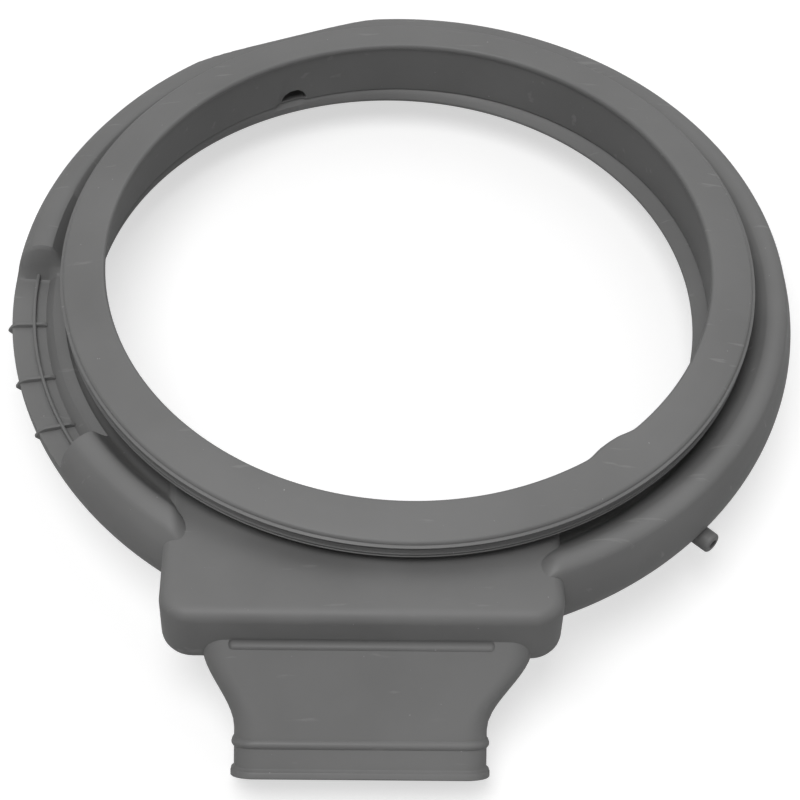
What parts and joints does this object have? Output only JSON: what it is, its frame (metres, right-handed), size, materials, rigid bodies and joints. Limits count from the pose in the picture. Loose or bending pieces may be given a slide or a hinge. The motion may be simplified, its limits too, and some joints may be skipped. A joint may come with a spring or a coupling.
{
  "type": "washing machine door seal",
  "caption": "Round rubber door seal with a bellows, lips that grip the panel edge and an air duct whose flat spout slopes down and away.",
  "frame": {"origin": "centre of the outline's bounding box, at the height of the lowest point, which is the lower edge of the duct mouth", "axes": "+Z along the axis of the front ring, out of the machine through the ring's face; -Y the way the air duct leaves; +X the side of the hose stub"},
  "size_m": [0.3982, 0.4538, 0.0992],
  "materials": {
    "rubber": "matte to satin grey moulded rubber"
  },
  "bodies": {
    "root": {"door_seal": "rubber"}
  },
  "joints": []
}
